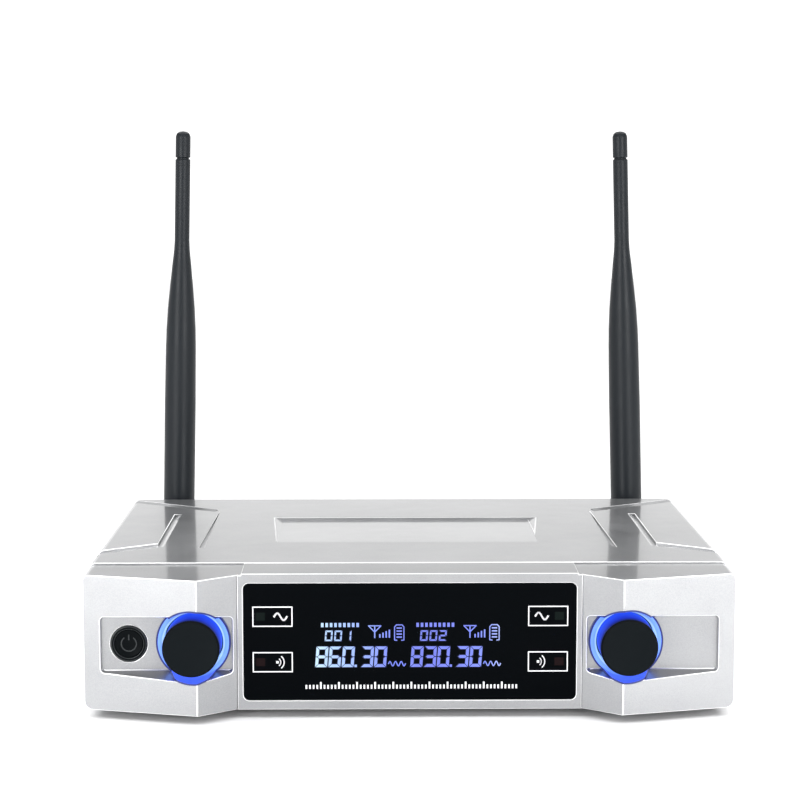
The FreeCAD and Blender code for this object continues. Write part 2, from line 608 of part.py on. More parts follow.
def bent_tube(name, route, radius):
    """A round cable along straight runs joined by tangent arcs, as large as the runs allow."""
    points = [Vector(*p) for p in route]
    edges, start = [], points[0]
    for before, corner, after in zip(points, points[1:], points[2:]):
        run_in, run_out = corner - before, after - corner
        room = 0.45 * min(run_in.Length, run_out.Length)
        enter = corner - run_in.normalize() * room
        leave = corner + run_out.normalize() * room
        bulge = run_out - run_in
        half_turn = run_in.getAngle(run_out) / 2
        bend = room / math.tan(half_turn)
        depth = bend / math.cos(half_turn) - bend
        middle = corner + bulge.normalize() * depth
        edges += [Part.LineSegment(start, enter).toShape(), Part.Arc(enter, middle, leave).toShape()]
        start = leave
    edges.append(Part.LineSegment(start, points[-1]).toShape())
    path = Part.Wire(edges)
    section = Part.Wire(Part.Circle(points[0], points[1] - points[0], radius).toShape())
    tube = doc.addObject("Part::Feature", name)
    tube.Shape = path.makePipeShell([section], True, False)
    return tube


def antenna_coax(label, side):
    """The lead from the antenna bushing down to the radio module's shield."""
    x, z = SIZES["antenna_x"], SIZES["antenna_z"]
    route = [(x, 141.0, z), (x, 132.0, z), (x - 4, 122.0, 21.0), (x - 12, 112.0, 18.0),
             (x - 18.8, 104.0, 17.6)]
    tube = bent_tube(f"coax_{label}", [(side * a, b, c) for a, b, c in route], 0.9)
    finish(tube, f"antenna_coax_{label}")


# ---- rear sockets

def xlr_socket(label, side):
    """A balanced output: flanged shell with a round cavity, and its three contact pins."""
    x = f"{side} * xlr_x"
    face = "panel_y + panel_thick"
    flange = block(f"xlr_flange_{label}", (f"{x} - 13", f"{x} + 13"), (face, f"{face} + 1.8"),
                   ("plug_z - 15.5", "plug_z + 15.5"))
    barrel = rod(f"xlr_barrel_{label}", "10.5", (x, "panel_y - 22", "plug_z"), "23.5 + panel_thick")
    cavity = rod(f"xlr_cavity_{label}", "xlr_bore", (x, "panel_y - 14", "plug_z"), "30")
    holes = [rod(f"xlr_hole_{label}_{i}", "screw_radius + 0.05",
                 (f"{x} + {dx}", f"{face} - 1", f"plug_z + {dz}"), "5")
             for i, (dx, dz) in enumerate(((-9.5, 12), (9.5, -12)))]
    finish(cut(f"xlr_cut_{label}", fuse(f"xlr_fused_{label}", flange, barrel), cavity, *holes),
           f"xlr_shell_{label}")
    pins = []
    for i, turn in enumerate((45, 135, 270)):
        dx, dz = 3.9 * math.cos(math.radians(turn)), 3.9 * math.sin(math.radians(turn))
        pins.append(rod(f"xlr_pin_{label}_{i}", "1.2", (f"{x} + {dx:.3f}", "panel_y - 14",
                                                        f"plug_z + {dz:.3f}"), "12"))
    finish(group(f"xlr_pin_group_{label}", *pins), f"xlr_pins_{label}")


def rear_sockets():
    face = "panel_y + panel_thick"
    screws = []
    for s in (-1, 1):
        for dx, dz in ((-9.5, 12), (9.5, -12)):
            screw = turned(f"xlr_screw_{len(screws)}", [
                ("0", "-1.7"), ("screw_radius", "-1.7"), ("screw_radius", "0"), ("2.6", "0"),
                ("2.3", "1.2"), ("1.2", "1.7"), ("0", "1.7")])
            bind(screw, Placement__Base__x=f"{s} * xlr_x + {dx}", Placement__Base__z=f"plug_z + {dz}",
                 Placement__Base__y=f"{face} + 1.8")
            screws.append(screw)
    finish(group("xlr_screw_group", *screws), "xlr_screws")
    at = ("0", "0", "plug_z")
    box = block("jack_box", ("-8", "8"), ("panel_y - 24", "panel_y"), ("-8", "8"))
    neck = rod("jack_neck", "4.6", ("0", "panel_y - 1", "0"), "1 + panel_thick + 4.4")
    hole = rod("jack_hole", "jack_bore", ("0", "panel_y - 20", "0"), "40")
    finish(cut("jack_cut", fuse("jack_fused", box, neck), hole), "mix_jack", at)
    nut = turned("jack_nut", [("4.65", face), ("7.2", face), ("7.2", f"{face} + 2"), ("6.6", f"{face} + 2.6"),
                              ("4.65", f"{face} + 2.6")])
    finish(nut, "mix_jack_nut", at)
    at = ("dc_x", "0", "plug_z")
    inlet = turned("inlet", [
        ("0", "panel_y - 14"), ("5.0", "panel_y - 14"), ("5.0", face), ("6.5", face),
        ("6.5", f"{face} + 1.4"), ("dc_bore", f"{face} + 1.4"), ("dc_bore", "panel_y - 9"),
        ("0", "panel_y - 9")])
    finish(inlet, "dc_inlet", at)
    finish(turned("inlet_pin", [("0", "panel_y - 9"), ("1.0", "panel_y - 9"), ("1.0", "panel_y - 1.6"),
                                ("0", "panel_y - 1.6")]), "dc_pin", at)


# ---- inner boards

def inner_boards():
    """Main board with its parts, screws, radio shields and the ribbon to the display board."""
    board = block("main_plate", ("-main_x", "main_x"), ("main_front", "main_back"),
                  ("main_z", "main_z + board_thick"))
    posts = [(f"{s} * standoff_x", y) for s in (-1, 1) for y in ("standoff_front", "standoff_back")]
    holes = [rod(f"board_hole_{i}", "screw_radius + 0.1", (x, y, "main_z - 1"), "5", "Z")
             for i, (x, y) in enumerate(posts)]
    finish(cut("main_cut", board, *holes), "main_board")
    screws = []
    for i, (x, y) in enumerate(posts):
        screw = turned(f"board_screw_{i}", [
            ("0", "-6"), ("screw_radius", "-6"), ("screw_radius", "board_thick"), ("2.8", "board_thick"),
            ("2.5", "board_thick + 1.6"), ("0", "board_thick + 1.9")], "Z")
        bind(screw, Placement__Base__x=x, Placement__Base__y=y, Placement__Base__z="main_z")
        screws.append(screw)
    finish(group("board_screw_group", *screws), "board_screws")
    top = "main_z + board_thick"
    parts = [rod("capacitor_big", "5", ("-20", "60", top), "14", "Z"),
             rod("capacitor_mid", "4", ("-6", "58", top), "11", "Z"),
             rod("capacitor_small", "4", ("6", "58", top), "11", "Z"),
             block("processor", ("12", "26"), ("66", "80"), (top, f"{top} + 1.4")),
             block("audio_chip", ("-14", "-4"), ("80", "86"), (top, f"{top} + 1.6")),
             block("regulator", ("-50", "-40"), ("52", "56.5"), (top, f"{top} + 12"))]
    finish(group("component_group", *parts), "board_components")
    for label, side in SIDES:
        low, high = sorted((side * 42, side * 72))
        can = block(f"can_{label}", (str(low), str(high)), ("66", "106"), (top, f"{top} + 7"))
        room = block(f"can_room_{label}", (str(low + 0.6), str(high - 0.6)), ("66.6", "105.4"),
                     (f"{top} - 1", f"{top} + 6.4"))
        finish(cut(f"can_cut_{label}", can, room), f"rf_shield_{label}")
    ribbon = new_body("ribbon")
    back = "board_y + board_thick"
    strip = [(back, "20.6"), ("30", "20.6"), ("43", "15.1"), ("50", "15.1"), ("50", "13.6"), ("47", "13.6"),
             ("47", "14.5"), ("42.8", "14.5"), ("29.8", "20.0"), (back, "20.0")]
    pad(ribbon, outline(ribbon, "YZ_Plane", strip, "-14"), "28")
    finish(ribbon, "display_ribbon")


front_bezel()
top_cover()
bottom_case()
feet_and_screws()
rear_panel()
display()
power_button()
rear_sockets()
inner_boards()
for label, side in SIDES:
    knob_set(label, side)
    antenna(label, side)
    antenna_coax(label, side)
    xlr_socket(label, side)
doc.recompute()

for item in doc.Objects:
    if {"Invalid", "Error"} & set(item.State):
        raise RuntimeError(f"{item.Label} did not recompute: {item.State}")
for item in finished:
    if item.Shape.isNull() or not item.Shape.isValid():
        raise RuntimeError(f"{item.Label} has no valid shape")

os.makedirs("parts", exist_ok=True)
for item in finished:
    item.Shape.exportStep(f"parts/{item.Label}.step")
print(len(finished), "sub-parts written")
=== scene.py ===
import json
import math

import bmesh
import bpy
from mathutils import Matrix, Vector
from mathutils.bvhtree import BVHTree

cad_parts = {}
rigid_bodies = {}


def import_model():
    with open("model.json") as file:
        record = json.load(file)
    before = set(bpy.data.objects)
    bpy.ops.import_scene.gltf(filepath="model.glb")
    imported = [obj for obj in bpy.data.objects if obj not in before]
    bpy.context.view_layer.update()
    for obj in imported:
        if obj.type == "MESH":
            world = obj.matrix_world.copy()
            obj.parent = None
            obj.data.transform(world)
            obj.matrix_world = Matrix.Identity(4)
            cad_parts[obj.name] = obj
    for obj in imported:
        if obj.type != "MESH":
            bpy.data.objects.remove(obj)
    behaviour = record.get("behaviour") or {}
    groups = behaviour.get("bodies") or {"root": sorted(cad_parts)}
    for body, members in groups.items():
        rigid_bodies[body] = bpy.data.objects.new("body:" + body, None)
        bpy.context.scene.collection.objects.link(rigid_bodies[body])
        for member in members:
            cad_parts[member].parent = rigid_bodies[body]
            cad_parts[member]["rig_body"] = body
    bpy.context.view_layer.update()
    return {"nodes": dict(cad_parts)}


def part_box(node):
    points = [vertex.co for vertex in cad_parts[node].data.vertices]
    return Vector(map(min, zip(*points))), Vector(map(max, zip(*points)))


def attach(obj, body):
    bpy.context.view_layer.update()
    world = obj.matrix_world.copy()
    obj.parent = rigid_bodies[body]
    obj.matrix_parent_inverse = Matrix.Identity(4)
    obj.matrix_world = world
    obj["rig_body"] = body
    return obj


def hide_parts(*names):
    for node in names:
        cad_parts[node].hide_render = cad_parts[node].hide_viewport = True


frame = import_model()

# Wireless microphone receiver: looks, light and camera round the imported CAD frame.
# Lengths named in millimetres are multiplied by MM; everything else is in metres.

MM = 0.001
WELD = 1e-6
SHARP_ANGLE = math.radians(32)    # faces that meet at more than this keep a hard edge
NODES = frame["nodes"]
SLOTS = {name: node.data.materials[0].name for name, node in NODES.items()}
SIDES = (("left", -1), ("right", 1))


def middle(node):
    low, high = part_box(node)
    return (low + high) / 2


def front_middle(low, high):
    """The middle of a box's front face."""
    return Vector(((low.x + high.x) / 2, low.y, (low.z + high.z) / 2))


# ---- pieces ----------------------------------------------------------------

def mesh_data(name, mesh):
    """Turns a bmesh into mesh data and frees it."""
    data = bpy.data.meshes.new(name)
    mesh.to_mesh(data)
    mesh.free()
    return data


def new_object(name, data):
    """Puts a mesh, light or camera in the scene."""
    thing = bpy.data.objects.new(name, data)
    bpy.context.scene.collection.objects.link(thing)
    return thing


def add_piece(name, mesh, body, finish, sharp_angle=SHARP_ANGLE):
    """Turns a bmesh into a named piece that rides on a body."""
    bmesh.ops.recalc_face_normals(mesh, faces=mesh.faces)
    data = mesh_data(name, mesh)
    data.polygons.foreach_set("use_smooth", [True] * len(data.polygons))
    if sharp_angle:
        data.set_sharp_from_angle(angle=sharp_angle)
    piece = new_object(name, data)
    data.materials.append(finish)
    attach(piece, body)
    return piece


NO_LIMIT = 1.0       # metres, wider than any bevel
BESIDE = 0.35        # sine above which the next edge of a face turns away from an edge
SHARE = 0.45         # of the gap beside an edge, what one of its two bevels may take
RUNS_ON = -0.75      # cosine below which two edges at a corner run on into one another
WORTH = 0.2          # of the wanted bevel, the least that is worth cutting
FLAT = math.radians(0.2)
SAME_SHADING = math.radians(0.5)


def room_beside(edge):
    """How wide a bevel along an edge can be before it meets the next corner of a face."""
    room = NO_LIMIT
    for corner in edge.verts:
        along = (edge.other_vert(corner).co - corner.co).normalized()
        for near in corner.link_edges:
            shares_face = any(face in edge.link_faces for face in near.link_faces)
            if near is edge or not shares_face:
                continue
            step = near.other_vert(corner).co - corner.co
            reach = step.cross(along).length
            if reach > BESIDE * step.length:
                room = min(room, SHARE * reach)
    return room


def even_out(rooms):
    """Edges that run on into one another share the smallest room among them."""
    pending = list(rooms)
    while pending:
        edge = pending.pop()
        for corner in edge.verts:
            along = (edge.other_vert(corner).co - corner.co).normalized()
            for near in corner.link_edges:
                ahead = (near.other_vert(corner).co - corner.co).normalized()
                wider = near in rooms and rooms[near] > rooms[edge] + 1e-8
                if wider and ahead.dot(along) < RUNS_ON:
                    rooms[near] = rooms[edge]
                    pending.append(near)


def soften(piece, width, angle=25, edge_highlight_finish=None, pick=None):
    """Rounds the outer sharp edges of a piece; the rounds may take a lighter finish of their own as a
    painted highlight.
    """
    mesh = bmesh.new()
    mesh.from_mesh(piece.data)
    layers = mesh.edges.layers.float
    weight = layers.get("bevel_weight_edge") or layers.new("bevel_weight_edge")
    rooms = {}
    for edge in mesh.edges:
        chosen = len(edge.link_faces) == 2 and edge.calc_face_angle_signed(0.0) > math.radians(angle)
        if pick:
            chosen = pick(edge, chosen)
        edge[weight] = 0.0
        room = room_beside(edge) if chosen else 0.0
        if room > WORTH * width:
            rooms[edge] = min(width, room)
    even_out(rooms)
    for edge, room in rooms.items():
        edge[weight] = room / width
    mesh.to_mesh(piece.data)
    mesh.free()
    bevel = piece.modifiers.new("edge_round", "BEVEL")
    bevel.width = width
    bevel.segments = 3
    bevel.limit_method = "WEIGHT"
    bevel.use_clamp_overlap = False
    # the rounds take the second material, a lighter finish that paints a highlight along the edges
    if edge_highlight_finish:
        piece.data.materials.append(edge_highlight_finish)
        bevel.material = 1
        return settle(piece)
    even = piece.modifiers.new("flat_faces_flat", "WEIGHTED_NORMAL")
    even.keep_sharp = True
    even.weight = 100
    return piece


def apply_modifiers(piece):
    graph = bpy.context.evaluated_depsgraph_get()
    data = bpy.data.meshes.new_from_object(piece.evaluated_get(graph), depsgraph=graph)
    piece.modifiers.clear()
    piece.data = data
    return data


def settle(piece):
    """Applies the rounding; each corner is then shaded with the true normal of the face beside it."""
    data = apply_modifiers(piece)
    mesh = bmesh.new()
    mesh.from_mesh(data)
    mesh.normal_update()
    shading = mesh.loops.layers.float_vector.get("shading")
    normals = []
    for face in mesh.faces:
        for loop in face.loops:
            normal = Vector(loop[shading])
            if face.material_index == 1:
                beside = [Vector(other[shading]) for other in loop.vert.link_loops
                          if other.face.material_index == 0]
                normal = max(beside, key=face.normal.dot, default=loop.vert.normal)
            normals.append(normal.normalized() if normal.length > 0.1 else face.normal.copy())
    mesh.free()
    data.normals_split_custom_set(normals)
    return piece


def shades_smooth(edge, shading):
    """True where the faces on both sides of an edge have the same shading normals along it."""
    for corner in edge.verts:
        sides = [Vector(loop[shading]) for loop in corner.link_loops if loop.face in edge.link_faces]
        if len(sides) != 2 or sides[0].angle(sides[1], 0) > SAME_SHADING:
            return False
    return True


def refine(node, name, width, angle=25, edge_highlight_finish=None, finish=None, pick=None):
    """A new piece of a CAD node's shape, welded and with rounded edges, that stands for the node."""
    source = NODES[node]
    slot = SLOTS[node]
    mesh = bmesh.new()
    mesh.from_mesh(source.data)
    shading = mesh.loops.layers.float_vector.new("shading")
    normals = iter(source.data.corner_normals)
    for face in mesh.faces:
        for loop in face.loops:
            loop[shading] = next(normals).vector
    bmesh.ops.remove_doubles(mesh, verts=mesh.verts, dist=WELD)
    for edge in mesh.edges:
        edge.smooth = shades_smooth(edge, shading)
    bmesh.ops.dissolve_limit(mesh, angle_limit=FLAT, verts=mesh.verts, edges=mesh.edges)
    piece = add_piece(name, mesh, source["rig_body"], finish or FINISHES[slot], sharp_angle=None)
    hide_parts(node)
    return soften(piece, width, angle, edge_highlight_finish, pick)


def lathe(mesh, profile, centre, steps=96):
    """Adds a closed solid of revolution about Y: profile points are (radius, along Y)."""
    rings = []
    for radius, along in profile:
        count = 1 if radius < 1e-9 else steps
        ring = []
        for i in range(count):
            turn = 2 * math.pi * i / steps
            place = Vector((radius * math.cos(turn), along, radius * math.sin(turn)))
            ring.append(mesh.verts.new(place + centre))
        rings.append(ring)
    closed = profile[0][0] > 1e-9
    pairs = zip(rings, rings[1:] + rings[:1]) if closed else zip(rings, rings[1:])
    for first, second in pairs:
        for i in range(steps):
            j = (i + 1) % steps
            corners = [first[i % len(first)], first[j % len(first)],
                       second[j % len(second)], second[i % len(second)]]
            unique = list(dict.fromkeys(corners))
            if len(unique) > 2:
                mesh.faces.new(unique)


def join_outlines(mesh, first, second):
    """Closes the solid between two outlines with equally many corners."""
    mesh.faces.new(first)
    mesh.faces.new(second[::-1])
    for i in range(len(first)):
        j = (i + 1) % len(first)
        mesh.faces.new([first[j], first[i], second[i], second[j]])


def prism(mesh, corners, front, thick):
    """Adds a flat plate from (x, z) corners in millimetres, standing proud of the plane y = front."""
    join_outlines(mesh, *[[mesh.verts.new((x * MM, y, z * MM)) for x, z in corners]
                          for y in (front - thick, front + 2 * thick)])


# ---- finishes --------------------------------------------------------------

def new_finish(name):
    material = bpy.data.materials.new(name)
    material.use_nodes = True
    return material, material.node_tree, material.node_tree.nodes["Principled BSDF"]


def feed(tree, node, inputs):
    """Links the inputs that are sockets and sets the others."""
    for key, value in inputs.items():
        if isinstance(value, bpy.types.NodeSocket):
            tree.links.new(value, node.inputs[key])
        else:
            node.inputs[key].default_value = value


def add(tree, kind, inputs=None, **settings):
    """A shader node with its settings, its plain inputs and its linked inputs."""
    node = tree.nodes.new(f"ShaderNode{kind}")
    for key, value in settings.items():
        setattr(node, key, value)
    feed(tree, node, inputs or {})
    return node


def object_place(tree):
    return add(tree, "TexCoord").outputs["Object"]


def noise(tree, place, scale, detail=2.0):
    return add(tree, "TexNoise", {"Vector": place, "Scale": scale, "Detail": detail}).outputs["Fac"]


NOISE_LOW, NOISE_HIGH = 0.3, 0.7    # between which nearly all of a noise texture lies


def spread(tree, value, low, high):
    """A noise value stretched to run from low to high."""
    return add(tree, "MapRange", {"Value": value, "From Min": NOISE_LOW, "From Max": NOISE_HIGH,
                                  "To Min": low, "To Max": high}).outputs["Result"]


def shade(colour, factor):
    return (*[min(1.0, c * factor) for c in colour[:3]], 1.0)


def surface(name, colour, roughness, metallic=0.0, mottle=0.06, cloud=45.0, grain=1400.0, relief=0.2,
            depth=0.02 * MM, rough_spread=0.06, **constants):
    """A finish with cloudy colour, uneven roughness and a fine grain in relief."""
    material, tree, shader = new_finish(name)
    place = object_place(tree)
    patches = noise(tree, place, cloud, 4.0)
    tint = add(tree, "MixRGB", {"Fac": patches, "Color1": shade(colour, 1 - mottle),
                                "Color2": shade(colour, 1 + mottle)})
    wear = spread(tree, noise(tree, place, cloud * 2.3, 3.0), roughness - rough_spread,
                  roughness + rough_spread)
    bump = add(tree, "Bump", {"Height": noise(tree, place, grain), "Strength": relief,
                              "Distance": depth})
    feed(tree, shader, {"Base Color": tint.outputs["Color"], "Roughness": wear,
                        "Normal": bump.outputs["Normal"], "Metallic": metallic})
    feed(tree, shader, {socket.replace("_", " "): value for socket, value in constants.items()})
    return material


def silver_paint(name, dark, light, coat):
    """Satin silver lacquer: fine bright flakes in a grey base, under a thin clear coat."""
    material, tree, shader = new_finish(name)
    place = object_place(tree)
    flakes = add(tree, "TexVoronoi", {"Vector": place, "Scale": 5200.0})
    flake_tone = add(tree, "SeparateColor", {"Color": flakes.outputs["Color"]})
    patches = noise(tree, place, 26.0, 3.0)
    tone = add(tree, "Math", {0: flake_tone.outputs["Red"], 1: 0.35}, operation="MULTIPLY")
    tone = add(tree, "Math", {0: patches, 1: tone.outputs[0]}, operation="ADD")
    tint = add(tree, "ValToRGB", {"Fac": tone.outputs[0]})
    tint.color_ramp.elements[0].position = 0.35
    tint.color_ramp.elements[0].color = dark
    tint.color_ramp.elements[1].position = 0.85
    tint.color_ramp.elements[1].color = light
    rough = spread(tree, noise(tree, place, 60.0, 4.0), 0.34, 0.42)
    relief = add(tree, "Bump", {"Height": noise(tree, place, 2600.0), "Strength": 0.12,
                                "Distance": 0.01 * MM})
    feed(tree, shader, {"Base Color": tint.outputs["Color"], "Roughness": rough,
                        "Normal": relief.outputs["Normal"], "Metallic": 0.9, "Coat Weight": coat,
                        "Coat Roughness": 0.09})
    return material


def ramp_of(tree, value, stops):
    """A colour ramp through (position, colour) stops."""
    node = add(tree, "ValToRGB", {"Fac": value})
    ramp = node.color_ramp
    while len(ramp.elements) < len(stops):
        ramp.elements.new(0.5)
    for element, (position, colour) in zip(ramp.elements, stops):
        element.position = position
        element.color = (*colour, 1)
    return node.outputs["Color"]


def axis_distance(tree, place, centre):
    """Distance from a line along Y through a centre."""
    apart = add(tree, "VectorMath", {0: place, 1: centre}, operation="SUBTRACT")
    flat = add(tree, "VectorMath", {0: apart.outputs[0], 1: (1, 0, 1)}, operation="MULTIPLY")
    return add(tree, "VectorMath", {0: flat.outputs[0]}, operation="LENGTH").outputs["Value"]


def ring_glow(centre):
    """Translucent ring lit from behind: a bright inner lip, pale blue across, dark at the rim."""
    material, tree, shader = new_finish("ring_light")
    place = object_place(tree)
    along = add(tree, "MapRange", {"Value": axis_distance(tree, place, centre), "From Min": 9.85 * MM,
                                   "From Max": 12.35 * MM}).outputs["Result"]
    glow = ramp_of(tree, along, ((0.0, (0.3, 0.55, 1.0)), (0.12, (0.5, 0.75, 1.0)),
                                 (0.28, (0.17, 0.36, 0.98)), (0.72, (0.19, 0.4, 1.0)),
                                 (0.9, (0.1, 0.23, 0.85)), (1.0, (0.004, 0.012, 0.12))))
    apart = add(tree, "VectorMath", {0: place, 1: centre}, operation="SUBTRACT").outputs[0]
    across = add(tree, "Math", {0: add(tree, "SeparateXYZ", {"Vector": apart}).outputs["X"]},
                 operation="ABSOLUTE").outputs[0]
    flank = add(tree, "MapRange", {"Value": across, "From Min": 3 * MM, "From Max": 9 * MM,
                                   "To Min": 0.62, "To Max": 1.05}).outputs["Result"]
    power = add(tree, "Math", {0: flank, 1: spread(tree, noise(tree, place, 320.0), 0.9, 1.1)},
                operation="MULTIPLY").outputs[0]
    rough = spread(tree, noise(tree, place, 700.0), 0.28, 0.4)
    feed(tree, shader, {"Emission Color": glow, "Emission Strength": power,
                        "Base Color": (0.02, 0.05, 0.3, 1), "Roughness": rough})
    return material


def painted_well_glow(centre):
    """Deep blue glow painted on the wall of the ring's well, standing for the ring's light on it, with a
    dark outer rim.
    """
    material, tree, shader = new_finish("ring_well_painted_light")
    place = object_place(tree)
    along = add(tree, "MapRange", {"Value": axis_distance(tree, place, centre), "From Min": 11.78 * MM,
                                   "From Max": 11.9 * MM}).outputs["Result"]
    glow = ramp_of(tree, along, ((0.0, (0.05, 0.11, 0.95)), (0.4, (0.02, 0.05, 0.5)),
                                 (1.0, (0.002, 0.009, 0.11))))
    power = spread(tree, noise(tree, place, 400.0), 0.9, 1.1)
    rough = spread(tree, noise(tree, place, 700.0), 0.3, 0.4)
    feed(tree, shader, {"Emission Color": glow, "Emission Strength": power,
                        "Base Color": (0.005, 0.01, 0.08, 1), "Roughness": rough})
    return material


def lit_knob(centre, radius, front):
    """Black plastic whose side has the ring's blue light painted on as a glow, strongest near the ring."""
    material = surface(f"knob_side_painted_glow_{centre.x:+.3f}", (0.003, 0.0036, 0.005), 0.4, mottle=0.1, cloud=70.0,
                       grain=2800.0, relief=0.2, Specular_IOR_Level=0.03)
    tree = material.node_tree
    shader = tree.nodes["Principled BSDF"]
    place = object_place(tree)
    side = add(tree, "MapRange", {"Value": axis_distance(tree, place, centre),
                                  "From Min": radius - 0.12 * MM, "From Max": radius - 0.02 * MM})
    height = add(tree, "SeparateXYZ", {"Vector": place}).outputs["Y"]
    depth = add(tree, "MapRange", {"Value": height, "From Min": front, "From Max": front + 10 * MM})
    painted_ring_light = ramp_of(tree, depth.outputs["Result"], ((0.04, (0.0, 0.0, 0.005)), (0.16, (0.008, 0.014, 0.2)),
                                                   (0.45, (0.008, 0.028, 0.62)), (1.0, (0.01, 0.06, 0.9))))
    feed(tree, shader, {"Emission Color": painted_ring_light, "Emission Strength": side.outputs["Result"]})
    return material


def lit_display():
    """Lit display segments: icy blue at the left, lavender blue further along."""
    material, tree, shader = new_finish("lit_segments")
    place = object_place(tree)
    along = add(tree, "SeparateXYZ", {"Vector": place})
    across = add(tree, "MapRange", {"Value": along.outputs["X"], "From Min": -32 * MM,
                                    "From Max": 32 * MM})
    colour = ramp_of(tree, across.outputs["Result"], (
        (0.0, (0.62, 0.86, 1.0)), (0.12, (0.42, 0.62, 1.0)), (0.38, (0.2, 0.27, 0.95)),
        (0.62, (0.16, 0.2, 0.86)), (0.88, (0.2, 0.27, 0.95)), (1.0, (0.5, 0.6, 1.0))))
    power = spread(tree, noise(tree, place, 260.0), 0.9, 1.15)
    feed(tree, shader, {"Emission Color": colour, "Emission Strength": power,
                        "Base Color": (0.01, 0.012, 0.03, 1), "Roughness": 0.3})
    return material


def glow_print(name, colour, strength):
    """A printed or faintly lit mark with slightly uneven strength."""
    material, tree, shader = new_finish(name)
    place = object_place(tree)
    power = spread(tree, noise(tree, place, 500.0), strength * 0.9, strength * 1.1)
    tint = add(tree, "MixRGB", {"Fac": noise(tree, place, 900.0), "Color1": shade(colour, 0.85),
                                "Color2": shade(colour, 1.0)})
    feed(tree, shader, {"Emission Color": (*colour, 1), "Emission Strength": power,
                        "Base Color": tint.outputs["Color"], "Roughness": 0.45})
    return material


def dark_window(name, colour):
    """A tinted, unlit lamp window in the lens."""
    return surface(name, colour, 0.2, mottle=0.15, cloud=300.0, relief=0.05, Specular_IOR_Level=0.05)


FINISHES = {
    "silver_paint": silver_paint("silver_paint", (0.29, 0.294, 0.302, 1), (0.36, 0.364, 0.372, 1), 0.9),
    "black_metal": surface("black_metal", (0.022, 0.022, 0.024), 0.52, grain=2600.0, relief=0.5),
    "black_acrylic": surface("black_acrylic", (0.0008, 0.0013, 0.0019), 0.12, mottle=0.2, cloud=18.0,
                             grain=220.0, relief=0.02, rough_spread=0.03, Specular_IOR_Level=0.02),
    "display_glass": surface("display_glass", (0.02, 0.03, 0.08), 0.1, relief=0.02),
    "black_plastic": surface("black_plastic", (0.018, 0.018, 0.019), 0.48, grain=1800.0, relief=0.35),
    "diffuser": surface("diffuser", (0.78, 0.83, 0.92), 0.6),
    "circuit_board": surface("circuit_board", (0.012, 0.11, 0.05), 0.42, mottle=0.12, grain=900.0),
    "lamp": surface("lamp", (0.08, 0.3, 0.1), 0.25, relief=0.05),
    "knob_black": surface("knob_black", (0.0035, 0.0052, 0.0064), 0.5, mottle=0.1, cloud=70.0,
                          grain=2800.0, relief=0.25, Specular_IOR_Level=0.05),
    "button_black": surface("button_black", (0.0022, 0.0032, 0.0038), 0.4, mottle=0.1, grain=2600.0,
                            relief=0.2, Specular_IOR_Level=0.04),
    "zinc": surface("zinc", (0.6, 0.6, 0.58), 0.34, metallic=1.0, grain=2200.0, relief=0.2),
    "steel": surface("steel", (0.58, 0.58, 0.6), 0.28, metallic=1.0, grain=2600.0, relief=0.15),
    "rubber": surface("rubber", (0.02, 0.02, 0.02), 0.75, grain=1600.0, relief=0.5),
    "component_black": surface("component_black", (0.03, 0.03, 0.034), 0.5),
    "tin": surface("tin", (0.62, 0.62, 0.6), 0.32, metallic=1.0),
    "ribbon": surface("ribbon", (0.5, 0.5, 0.52), 0.5),
    "coax": surface("coax", (0.025, 0.025, 0.025), 0.5),
    "antenna_rubber": surface("antenna_rubber", (0.01, 0.0125, 0.0155), 0.4, mottle=0.08, cloud=60.0,
                              grain=2400.0, relief=0.3, rough_spread=0.05, Specular_IOR_Level=0.22),
}
FINISHES["ring_light"] = FINISHES["diffuser"]
# Near-white silver for the rounded edges: a painted highlight along them.
EDGE_HIGHLIGHT_SILVER = silver_paint("silver_paint_edge_highlight", (0.86, 0.865, 0.87, 1), (0.95, 0.95, 0.955, 1), 0.5)
for node_name, node in NODES.items():
    node.material_slots[0].material = FINISHES[SLOTS[node_name]]


# ---- case ------------------------------------------------------------------

HUBS = [middle(f"ring_light_{label}") for label, _ in SIDES]
WELL_RADIUS = 12.4 * MM
RECESS_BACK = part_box("button_collar")[0].y + 0.4 * MM
RECESS_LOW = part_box("ring_light_left")[0].z + 2.7 * MM


def bezel_edges(edge, chosen):
    """Leaves out the rims hidden by the ring lights; adds the inner corner under each recess, so that it
    gets the painted edge highlight too.
    """
    ends = [vert.co for vert in edge.verts]
    for hub in HUBS:
        if all(abs(math.hypot(p.x - hub.x, p.z - hub.z) - WELL_RADIUS) < 0.1 * MM for p in ends):
            return False
    near = 0.2 * MM
    return chosen or all(abs(p.y - RECESS_BACK) < near and abs(p.z - RECESS_LOW) < near for p in ends)


def case_shells():
    """The silver mouldings, the rear plate and the feet, with their edges softened; the silver edges carry
    a painted highlight.
    """
    refine("front_bezel", "bezel", 0.26 * MM, 18, EDGE_HIGHLIGHT_SILVER, pick=bezel_edges)
    refine("top_cover", "cover", 0.25 * MM, 12, EDGE_HIGHLIGHT_SILVER)
    refine("bottom_case", "base", 0.3 * MM, 25, EDGE_HIGHLIGHT_SILVER)
    refine("rear_panel", "rear_plate", 0.25 * MM)
    refine("display_lens", "lens", 0.22 * MM)
    refine("rubber_feet", "feet", 0.3 * MM)


# ---- display ---------------------------------------------------------------

# Marks on the lens are in millimetres: across from the centre line, up from the lens's lower edge.
CHANNEL_PITCH = 31.5
GROUP_LEFT = -31.4
LOWER_ROW, UPPER_ROW = 9.6, 24.95    # feet of the printed frames at the lens's ends
ROW_HEIGHT = 6.45
LINE = 0.36
OVERLAP = 0.6                        # of half a stroke's width, what it runs on past its ends


